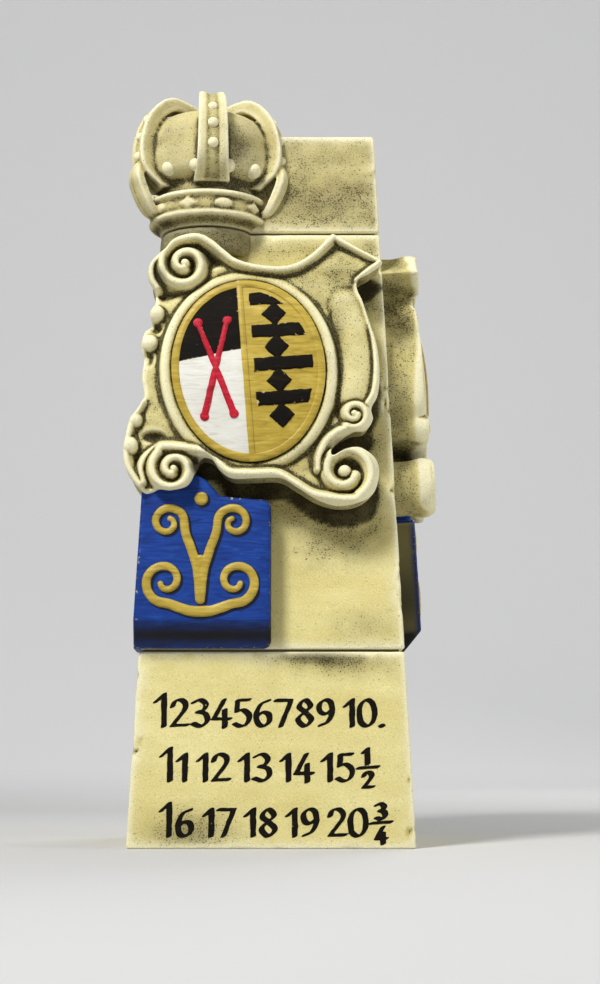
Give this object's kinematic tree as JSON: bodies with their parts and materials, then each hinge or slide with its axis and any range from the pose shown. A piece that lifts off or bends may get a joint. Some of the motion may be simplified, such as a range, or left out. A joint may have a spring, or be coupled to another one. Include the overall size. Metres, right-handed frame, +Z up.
{
  "type": "distance marker post",
  "caption": "Tapering square sandstone distance marker with a carved crown, scrolled frames with oval shields and painted tablets.",
  "frame": {"origin": "middle of the square foot, on the surface that the post stands on", "axes": "+Z up along the post, the inscribed front facing -Y, the second carved side facing +X"},
  "size_m": [0.4955, 0.4943, 1.19],
  "materials": {
    "sandstone": "weathered, fine-grained",
    "mortar": "rough",
    "iron": "wrought, dull",
    "lead": "poured lead, dull",
    "blue_paint": "oil paint, matte",
    "gold_paint": "ochre gilding, satin",
    "black_paint": "oil paint, matte",
    "white_paint": "oil paint, matte",
    "red_paint": "oil paint, matte"
  },
  "bodies": {
    "root": {"inscription_stone": "sandstone", "arms_stone": "sandstone", "top_stone": "sandstone", "lower_bed": "mortar", "upper_bed": "mortar", "lower_dowel": "iron", "upper_dowel": "iron", "lower_dowel_lead": "lead", "upper_dowel_lead": "lead", "front_shield_rim": "gold_paint", "front_shield_black_field": "black_paint", "front_shield_white_field": "white_paint", "front_shield_gold_field": "gold_paint", "front_shield_bars": "black_paint", "front_shield_staves": "red_paint", "front_tablet_blue": "blue_paint", "front_tablet_ornament": "gold_paint", "right_shield_rim": "gold_paint", "right_shield_black_field": "black_paint", "right_shield_white_field": "white_paint", "right_shield_gold_field": "gold_paint", "right_shield_bars": "black_paint", "right_shield_staves": "red_paint", "right_tablet_blue": "blue_paint", "right_tablet_ornament": "gold_paint"}
  },
  "joints": []
}
